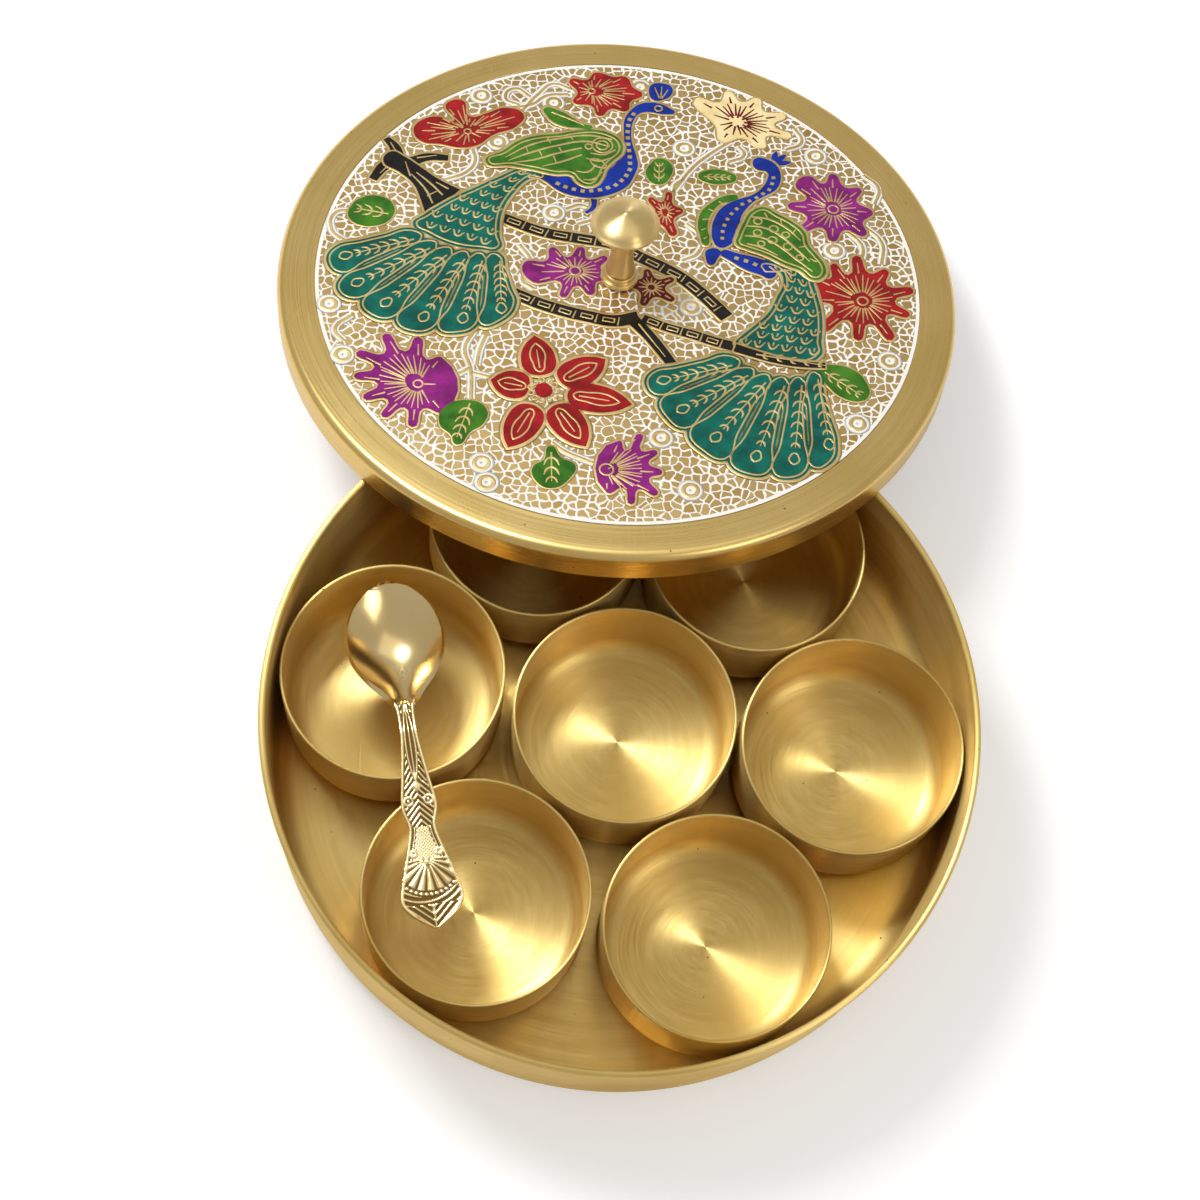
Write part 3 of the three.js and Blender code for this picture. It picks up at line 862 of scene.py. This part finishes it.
def branches():
    trunk = [(-81.6, 50.6), (-79, 55.6), (-74.6, 53.6), (-69, 49), (-62, 43), pointed((-54.6, 38.4))]
    trunk += [(-59, 33.6), pointed((-66.6, 27.4)), (-68.4, 34), (-71, 40.6), (-76, 46)]
    arms = [ribbon([(-77, 54), (-78, 58), (-81, 62)], 5, 2.4)]
    arms.append(ribbon([(-78, 52), (-82, 47.6), (-85, 42)], 5, 3))
    arms.append(ribbon([(-72, 51), (-66, 53.6), (-59, 53.4)], 4.4, 2.6))
    upper = points(-39.7, 26, -26, 20, -13, 17.4, -1, 15, 7, 10, 20, 2, 28, -6, 36, -16)
    lower = points(-36, -8, -28, -12, -20, -15, -11, -17.4, -2, -19, 6, -17)
    fork_down = points(4, -18, 10, -26, 17.5, -38.5)
    fork_right = points(7.5, -17.5, 15, -21, 24, -24, 32, -27, 39, -29)
    across = points(38, -29.4, 45, -32, 51, -34, 58, -35.5, 68, -36)
    shapes = [ribbon(upper, 4.2, 5), ribbon(lower, 4.6, 5)]
    shapes += [ribbon(fork_down, 4.6, 3.6), ribbon(fork_right, 3.4, 4)]
    dashes, boxes = [], []
    for line, spacing in ((upper, 8.5), (lower, 7.5), (fork_right, 7)):
        length = length_of(line)
        for count in range(int(length / spacing)):
            start, way = along(line, (count * spacing + 2) / length)
            side = left_of(way)
            corners = ((0, -1), (0.52, -1), (0.52, 1), (0, 1))
            box = [start + way * spacing * a + side * b * 0.8 for a, b in corners]
            boxes.append([pointed(corner) for corner in box])
            cross = start + way * spacing * 0.7
            dashes.append([cross - side * 1.8, cross + side * 1.8])
    lines = paths(
        [-64, 31.6, -66.6, 38, -71.6, 45], [-60.6, 35.6, -65, 41, -70, 46], [-58.6, 38.6, -63, 41.6],
        [-72, 44, -74, 51], [-66, 35, -62.6, 37.4], [-77, 55, -79.4, 60], [-79, 50, -82.6, 45],
        [-70, 53, -63, 54.6], [6, -20, 14.6, -34],
    )
    motif("branches", 0, "black", shapes, dashes + lines[-1:], boxes, 1.1)
    motif("branch_trunk", 0.5, "black", [trunk], lines[:5], border=1.1)
    motif("branch_arms", 0, "black", arms, lines[5:8], border=1.1)
    veins = sprig(across[1], across[4], 5, 2)
    motif("branch_across_tail", 3, "black", [ribbon(across, 3.4, 2.4)], veins, border=0.9)


def flower(name, colour, centre, rings, *tips):
    """An open flower with uneven petals, gold lines along them and rings at its middle."""
    tips = points(*tips)
    motif(name, 1, colour, [tips], petal_veins(centre, tips), rings, 1.05)


def flowers():
    flower(
        "red_flower_rear_left", "red", (-52.4, 67), [ring((-52.4, 66.6), 1.2, 6)],
        -71.5, 66, -69.5, 70.8, -63, 73.4, -57.4, 71.4, -60.4, 79.4, -54.6, 82, -51.6, 74, -45.6, 76,
        -39, 79, -32.6, 76, -35, 70, -43, 65.6, -49, 60, -54, 58.6, -62, 60, -68.6, 61,
    )
    flower(
        "red_peony", "red", (-7.6, 89), [ring((-8, 89), 1.2, 6)],
        -15.8, 94.4, -9.4, 94.6, -6.6, 98.4, 0, 96.6, 4.6, 96.8, 7, 91.6, 10.4, 88, 6, 84.4, 4.6, 79.6,
        -1, 80.4, -5.4, 76.6, -8, 81.4, -14.6, 83, -13, 88,
    )
    tips = points(
        29.6, 87, 38.4, 85.6, 41.6, 91.4, 46.4, 86, 52.6, 88.4, 54, 82, 62, 80, 57.4, 75, 63.4, 69.6,
        54.4, 69.4, 53, 63.4, 45.6, 68, 38, 66, 36.4, 73.6,
    )
    motif("cream_flower", 1, "cream", [tips], border=0.7)
    veins = petal_veins((44, 76), tips, 0.2, 0.8)
    dark = ENAMELS["dark_red"]
    wires("cream_flower_lines", veins, dark, 1.3, LAYER + LINE_RISE, tapered=True)
    flower(
        "purple_flower_right", "purple", (76, 35), [ring((76, 35), 1.8)],
        68.4, 50.6, 73.4, 47, 77, 52, 81, 45.6, 86.6, 45, 84.6, 39, 90, 34, 86, 29.4, 86.4, 23,
        79.4, 25.4, 74.6, 19.8, 71.6, 26, 63.6, 24.4, 66.6, 31, 60, 36, 67, 39.6, 63.4, 46,
    )
    flower(
        "red_flower_right", "red", (83, -7), [ring((83, -7), 1.8)],
        65, 4, 72.4, 2.6, 74, 9.6, 79, 4.6, 82.4, 13.6, 86.4, 5.6, 92.6, 7.4, 92, 0.4, 101, -1.4,
        94, -6.6, 98.6, -13, 90.6, -13, 91.6, -24, 84.4, -17, 80, -24.6, 77.4, -15.6, 68, -20.6,
        72.6, -9.6, 66.6, -7,
    )
    flower(
        "small_red_flower", "red", (16.6, 31), (),
        11.4, 37.6, 15.6, 35.6, 18.4, 40.6, 19.6, 34.6, 23, 32, 19.6, 28, 19.4, 20, 15.4, 25, 11, 26.4,
        13.4, 31,
    )
    flower(
        "dark_red_flower", "dark_red", (10.8, -3.8), [ring((10.8, -3.8), 1.5)],
        2.6, -1, 7.6, 0, 9.4, 4.4, 12.8, 0, 18.6, 0.6, 15.4, -4, 18.4, -9.4, 11.8, -8, 7.6, -12,
        7, -6.4,
    )
    flower(
        "purple_flower_middle", "purple", (-15, 2.6), [ring((-15, 2.6), 1.8)],
        -32.4, 5.6, -24.6, 7, -23, 13, -17.6, 8.6, -12.6, 13.6, -10.6, 8, -4, 9.4, -6.4, 4, -1, -0.6,
        -7.6, -2, -9.6, -8, -14.4, -4, -19.6, -9.4, -20, -2.6, -29.4, -3,
    )
    flower(
        "purple_flower_left", "purple", (-67, -48.4), [ring((-67, -48.4), 1.5, 6)],
        -59.6, -37, -64.6, -38, -67.4, -28.6, -71.6, -35, -78.4, -27.6, -78.4, -36, -87.6, -36,
        -81.4, -42, -88, -46, -80, -49, -84.6, -55, -76.6, -55.4, -78, -62.6, -71, -58.4, -68.4, -66.4,
        -65, -58.6, -58.6, -60,
    )
    flower(
        "purple_flower_front", "purple", (-6, -81.4), [ring((-6, -81.4), 2.2)],
        -1.6, -69.6, 0.4, -73.6, 5.4, -66.6, 5.4, -73.4, 10.6, -73.6, 7.6, -78.4, 12, -82, 7.6, -84.6,
        10, -91, 4, -89, 1.6, -95, -0.6, -88.6, -6, -90.6,
    )
    tips = points(-29, -26.6, -5.4, -35.8, 3, -54.6, -12.4, -72.4, -37.6, -73.6, -43.4, -46)
    centre = (-26, -49.6)
    outlines = [petal(centre, tip, 11.4, 0.28) for tip in tips]
    lines = [[between(centre, tip, 0.4), between(centre, tip, 0.74)] for tip in tips]
    drops = [petal(between(centre, tip, 0.32), between(centre, tip, 0.86), 5, 0.05) for tip in tips]
    beads = [ring(spot, 0.9, 6) for spot in ring(centre, 4.3, 11)]
    motif("six_petal_flower", 1, "red", outlines, lines, drops + beads, 1.5)
    filled("six_petal_flower_middle", [ring(centre, 2.9)], ENAMELS["red"], 1.2 * LAYER)


def leaves():
    shapes = paths(
        [-92, 29, -88, 33.4, -82, 34, -77.4, 30, -78, 24, -83, 20.4, -89, 20.6, -92.6, 24],
        [-50, -54.6, -44.6, -58, -45.4, -64, -49.6, -67.6, -54, -73, -56, -69, -59.6, -65, -58.4, -58],
        [-24, -72.4, -20.6, -77, -16, -80, -17.6, -85, -24, -89.4, -29, -86, -29.6, -81, -26, -78],
        [65.6, -37, 72, -35.6, 77.6, -37.6, 81, -42, 81.6, -48.4, 78.6, -50.6, 73, -49.4, 68.6, -45],
        [29, 48.6, 33, 51.8, 38.6, 51.6, 42.6, 48.2, 38, 45.4, 32.6, 45.6],
        [10.6, 48, 12.4, 54, 15.4, 56.6, 19.6, 54, 19.4, 48.6, 15, 44],
    )
    lines = sprig((-79, 26), (-90, 28), 3, 3.4) + sprig((-50, -56), (-54, -70), 4, 3.2)
    lines += sprig((-23.6, -75), (-23.6, -86.6), 3, 3.4) + sprig((67.6, -38.6), (79, -48), 4, 3)
    lines += sprig((31, 48.6), (40.6, 48.4), 4, 2) + sprig((15, 45.4), (15.4, 54.4), 3, 2.6)
    motif("leaves", 1, "green", shapes, lines, border=0.7)


def stems_and_eyes():
    """White and gold stems, and round eyes with a gold ring on white."""
    lines = paths(
        [-50.6, 59, -49.6, 52, -53, 46.6, -60, 43], [-16, 90, -22, 92, -27, 87, -33, 78],
        [-16.6, 87, -24, 86, -30, 81, -37, 79.4], [41, 66, 34, 60, 27.4, 53, 20, 41],
        [-49, -25, -52, -33, -50, -41, -49.6, -54], [-45, -27, -47, -33, -48, -40],
        [-50, -41, -56, -44.6, -61, -45.4], [-50, -43, -44, -44.6, -40, -46],
        [-23.4, -71, -20, -74, -13, -77.6, -6, -80.6], [86, 28, 92, 20, 91, 10],
        [81, 24, 85, 18, 84, 11], [24, 47, 21, 44.6, 20, 41], [-92, 12, -98, 18, -97, 26, -91, 27],
        [-30, 85, -36, 89, -39, 84, -34, 80.6], [61, 63, 67, 67, 65, 74], [88, 52, 93, 46, 91, 38],
        [-4, 30, 2, 34, 1, 39.6], [-34, 14, -30, 6, -33, -2, -29, -6], [24, 26, 29, 20, 27, 12, 22, 9],
        [28, -50, 30, -60, 26, -66], [-90, -20, -95, -26, -92, -31], [40, 56, 46, 60, 44, 64],
        [-14, 24, -8, 28, -12, 33, -18, 31],
    )
    wires("stems_white", lines, ENAMELS["white"], 3.2, 0.02)
    wires("stems_gold", lines, GOLD, 1.5, 0.06)
    eyes = points(
        -41.6, 62, -21.7, 82.4, -47.7, 84.7, 9.7, 92, 71.6, 60.4, 75, 15.6, 24.6, 62, -97.4, -15.3,
        -92, -37, -44.3, -87.6, 24, -12, 90, -33, 12, -68, 77, -60, 20.8, -88.8, -22, 29, -46, -80,
    )
    wires("eyes_white", [ring(eye, 2.1) for eye in eyes], ENAMELS["white"], 4.4, 0.02, closed=True)
    wires("eyes_gold", [ring(eye, 2.3) for eye in eyes], GOLD, 1.7, 0.06, closed=True)


# The spoon

# Half widths along the spoon from the bowl's tip, as shares of its length, then heights
SPOON_LENGTH = 114
SPOON_OUTLINE = points(
    0, 0.4, 0.004, 3.4, 0.01, 5.2, 0.02, 7.2, 0.065, 11.9, 0.12, 14.5, 0.165, 15.1, 0.22, 13.9,
    0.275, 10.3, 0.32, 5.7, 0.36, 3.1, 0.44, 2.7, 0.5, 3.24, 0.58, 4.48, 0.66, 5.6, 0.72, 4.2,
    0.79, 6.0, 0.86, 8.25, 0.92, 9.7, 0.96, 7.0, 1, 0.9,
)
SPOON_HEIGHTS = points(0, -2.38, 0.17, -3.4, 0.34, -1.87, 0.45, 0, 0.68, 0, 1, 1.2)
SPOON_THICK, SPOON_THIN = 2.2, 1.2
BOWL_SHARE = 0.36
BOWL_DEPTH = 6.2
# The chasing starts at this share of the length and is in full over the next one
CHASED_FROM, CHASED_OVER = 0.335, 0.03
CHASING_RISE = 0.24


def clamped(value):
    return min(max(value, 0.0), 1.0)


def smooth_line(line, steps):
    """A smooth line through the points, with that many steps between each two, as x and y rows."""
    spots = np.array([line[0], *line, line[-1]])
    before, start, end, after = spots[:-3], spots[1:-2], spots[2:-1], spots[3:]
    leaving, arriving = (end - before) / 2, (after - start) / 2
    cube = 2 * start - 2 * end + leaving + arriving
    square = 3 * end - 3 * start - 2 * leaving - arriving
    rows = [cube * t**3 + square * t**2 + leaving * t + start for t in np.arange(steps) / steps]
    return np.vstack([np.stack(rows, axis=1).reshape(-1, 2), spots[-1:]]).T


SPOON_LINE = smooth_line(SPOON_OUTLINE, 12)


def spoon_half(share):
    """The spoon's half width at a share of its length."""
    return float(np.interp(share, *SPOON_LINE))


def spoon_top(share, side):
    """The height of the spoon's upper face, level at each row of the heights."""
    middle = SPOON_HEIGHTS[-1][1]
    for (from_share, start), (to_share, end) in zip(SPOON_HEIGHTS, SPOON_HEIGHTS[1:]):
        if share <= to_share:
            t = (share - from_share) / (to_share - from_share)
            middle = start + (end - start) * t * t * (3 - 2 * t)
            break
    dish = BOWL_DEPTH * math.sin(math.pi * clamped(share / BOWL_SHARE)) ** 0.8
    return SPOON_THICK + middle - dish * (1 - side * side)


def ridge(offset, half_width):
    """A rounded ridge's height, from 1 on its line to 0 beside it."""
    return max(0.0, 1 - (offset / half_width) ** 2)


def chased(share, y):
    """How far the handle's ornament stands up there, from 0 in its dark ground to 1."""
    half = spoon_half(share)
    off = abs(y)
    edge = half - off
    at = share * SPOON_LENGTH
    levels = [ridge(edge - 0.45, 0.66)]
    inside = edge > 1.15
    if share < 0.59:
        loop = half * 0.5 * math.sin(math.pi * max(share - 0.345, 0) / 0.245)
        levels += [ridge(off - loop, 0.42), ridge(y, 0.34)]
        if inside and off > loop + 0.5:
            levels.append(0.8 * math.cos(TURN * (at - 1.6 * off) / 2.3))
    elif share < 0.72:
        scroll = math.hypot(at - 73.4, off - 3.1)
        levels += [ridge(scroll - 1.3, 0.45), ridge(scroll, 0.6)]
        levels.append(1.5 - off / 1.5 - abs(at - 68.7) / 1.5)
        if inside and scroll > 1.8:
            levels.append(0.95 * math.cos(TURN * (at - 1.1 * off) / 2.1))
    elif share < 0.81:
        scroll = math.hypot(at - 90.2, off - 4.1)
        levels += [ridge(edge - 1.75, 0.36), ridge(scroll - 0.95, 0.42)]
        if edge > 2.2:
            levels.append(0.45 + 0.4 * math.cos(TURN * at / 1.1) * math.cos(TURN * y / 1.1))
    elif share < 0.935:
        shell = at - 92.4
        reach = math.hypot(shell, y)
        angle = math.atan2(y, shell)
        if reach < 10.2:
            levels.append(0.5 + 0.5 * math.cos(angle * 20))
        elif reach > 12.2 and inside:
            levels.append(0.9 * math.cos(TURN * (reach / 1.9 + angle)))
        step = math.radians(8.2)
        bead = (angle / step - round(angle / step)) * step * reach
        levels.append(ridge(math.hypot(reach - 11.2, bead), 0.68))
    else:
        levels += [ridge(y, 0.42), 0.9 * math.cos(TURN * (at + 0.9 * off) / 2.2)]
    return clamped(max(levels))


def with_chasing(spoon):
    """Raises the handle's ornament and keeps its height as an attribute for the material."""
    levels = []
    for vertex in spoon.data.vertices:
        x, y, z = vertex.co / MM
        share = x / SPOON_LENGTH
        side = y / max(spoon_half(share), 0.01)
        on_top = abs(z - spoon_top(share, side)) < 0.06
        fade = clamped((share - CHASED_FROM) / CHASED_OVER)
        level = 1.0
        if on_top and fade > 0:
            level = 1 - fade + fade * chased(share, y)
            vertex.co.z += CHASING_RISE * fade * (level - 0.5) * MM
        elif fade > 0:
            level = 0.75
        levels.append(level)
    layer = spoon.data.attributes.new("chasing", "FLOAT", "POINT")
    layer.data.foreach_set("value", levels)


def make_spoon(material):
    bpy.ops.mesh.primitive_grid_add(x_subdivisions=420, y_subdivisions=48, size=1)
    spoon = bpy.context.object
    spoon.name = "spoon_chased"
    thickness = spoon.vertex_groups.new(name="thickness")
    for vertex in spoon.data.vertices:
        share = 0.5 - 0.5 * math.cos(math.pi * (vertex.co.x + 0.5))
        side = vertex.co.y * 2
        in_bowl = clamped(share / BOWL_SHARE)
        sheet = SPOON_THIN + (SPOON_THICK - SPOON_THIN) * in_bowl**3
        thickness.add([vertex.index], sheet / SPOON_THICK, "REPLACE")
        place = (share * SPOON_LENGTH, side * spoon_half(share), spoon_top(share, side))
        vertex.co = Vector(place) * MM
    solid = spoon.modifiers.new("sheet", "SOLIDIFY")
    solid.thickness = SPOON_THICK * MM
    solid.offset = -1
    solid.vertex_group = "thickness"
    rounding = spoon.modifiers.new("rounding", "BEVEL")
    rounding.width = 0.35 * MM
    rounding.segments = 3
    rounding.limit_method = "ANGLE"
    rounding.angle_limit = math.radians(55)
    for modifier in ("sheet", "rounding"):
        bpy.ops.object.modifier_apply(modifier=modifier)
    bpy.ops.object.mode_set(mode="EDIT")
    bpy.ops.mesh.select_all(action="SELECT")
    bpy.ops.mesh.remove_doubles(threshold=SPOON_MERGE * MM)
    bpy.ops.mesh.dissolve_degenerate(threshold=SPOON_MERGE * MM)
    bpy.ops.mesh.select_all(action="DESELECT")
    bpy.ops.mesh.select_interior_faces()
    bpy.ops.mesh.delete(type="FACE")
    bpy.ops.mesh.select_all(action="SELECT")
    bpy.ops.mesh.normals_make_consistent(inside=False)
    bpy.ops.object.mode_set(mode="OBJECT")
    with_chasing(spoon)
    bpy.ops.object.shade_smooth_by_angle(angle=math.radians(50))
    finished(spoon, material, "spoon", SPOON_PLACE, "spoon")


# The setting


def in_scene(name, data, place):
    holder = bpy.data.objects.new(name, data)
    bpy.context.scene.collection.objects.link(holder)
    holder.location = place
    return holder


def make_floor():
    bpy.ops.mesh.primitive_plane_add(size=8)
    floor = bpy.context.object
    floor.name = "floor"
    material, tree, shader = new_material("plain white floor")
    seen = node(tree, "LightPath")["Is Camera Ray"]
    values = {
        "Base Color": paint(FLOOR_WHITE),
        "Roughness": 1,
        "Specular IOR Level": 0,
        "Emission Color": (1, 1, 1, 1),
        "Emission Strength": maths(tree, "MULTIPLY", seen, 0.22),
    }
    connect(tree, shader, values)
    floor.data.materials.append(material)


def make_world():
    """Plain white to the camera, and a dimmer light on the pieces and in their reflections."""
    world = bpy.data.worlds.new("white studio")
    bpy.context.scene.world = world
    world.use_nodes = True
    tree = world.node_tree
    rays = node(tree, "LightPath")
    mirrored = maths(tree, "MAXIMUM", rays["Is Glossy Ray"], rays["Is Transmission Ray"])
    dimmed = ranged(tree, mirrored, 0.0, 1.0, 0.56, 0.48)
    strength = maths(tree, "MAXIMUM", dimmed, rays["Is Camera Ray"])
    connect(tree, tree.nodes["Background"], {"Strength": strength, "Color": (1, 1, 1, 1)})


def make_lamp(name, place, size, energy, colour=(1, 1, 1), paint_too=True, metal_too=True):
    """A square softbox aimed at the middle of the tray, that may leave paint or metal unlit."""
    lamp = bpy.data.lights.new(name, "AREA")
    lamp.size = size
    lamp.energy = energy
    lamp.color = colour
    holder = in_scene(name, lamp, place)
    holder.rotation_euler = (-Vector(place)).to_track_quat("-Z", "Y").to_euler()
    holder.visible_diffuse = paint_too
    holder.visible_glossy = metal_too


def make_camera():
    camera = bpy.data.cameras.new("camera")
    camera.lens = 69
    camera.sensor_width = 36
    holder = in_scene("camera", camera, (-0.05574, -0.20525, 0.73986))
    holder.rotation_euler = (0.3356, -0.06953, -0.00109)
    bpy.context.scene.camera = holder


# Making everything

bpy.context.scene.view_settings.view_transform = "Standard"

satin = turned_brass("satin brass", SATIN, 0.41, 0.9)
bright = turned_brass("turned bright brass", BRIGHT, 0.36, 0.8)
make_tray(satin)
make_cups(satin)
make_lid_shell(turned_brass("satin brass of the lid", LID_SATIN, 0.3, 0.2))
make_knob(bright)
make_fixings(bright)
make_enamel_ground(enamel_ground_material())
branches()
stems_and_eyes()
left_peacock()
right_peacock()
flowers()
leaves()
make_spoon(antique_brass())
make_floor()
make_world()
make_camera()
make_lamp("left softbox", (-0.56, 0.66, 0.98), 0.4, 9.5, metal_too=False)
make_lamp("right softbox", (0.75, -0.6, 1.0), 0.5, 2.5)
make_lamp("shine", (-0.39, 0.59, 1.15), 0.3, 12, (0.74, 0.84, 1), paint_too=False)
make_lamp("sheen from above", (0.12, 0.42, 1.25), 0.9, 1.2, paint_too=False)
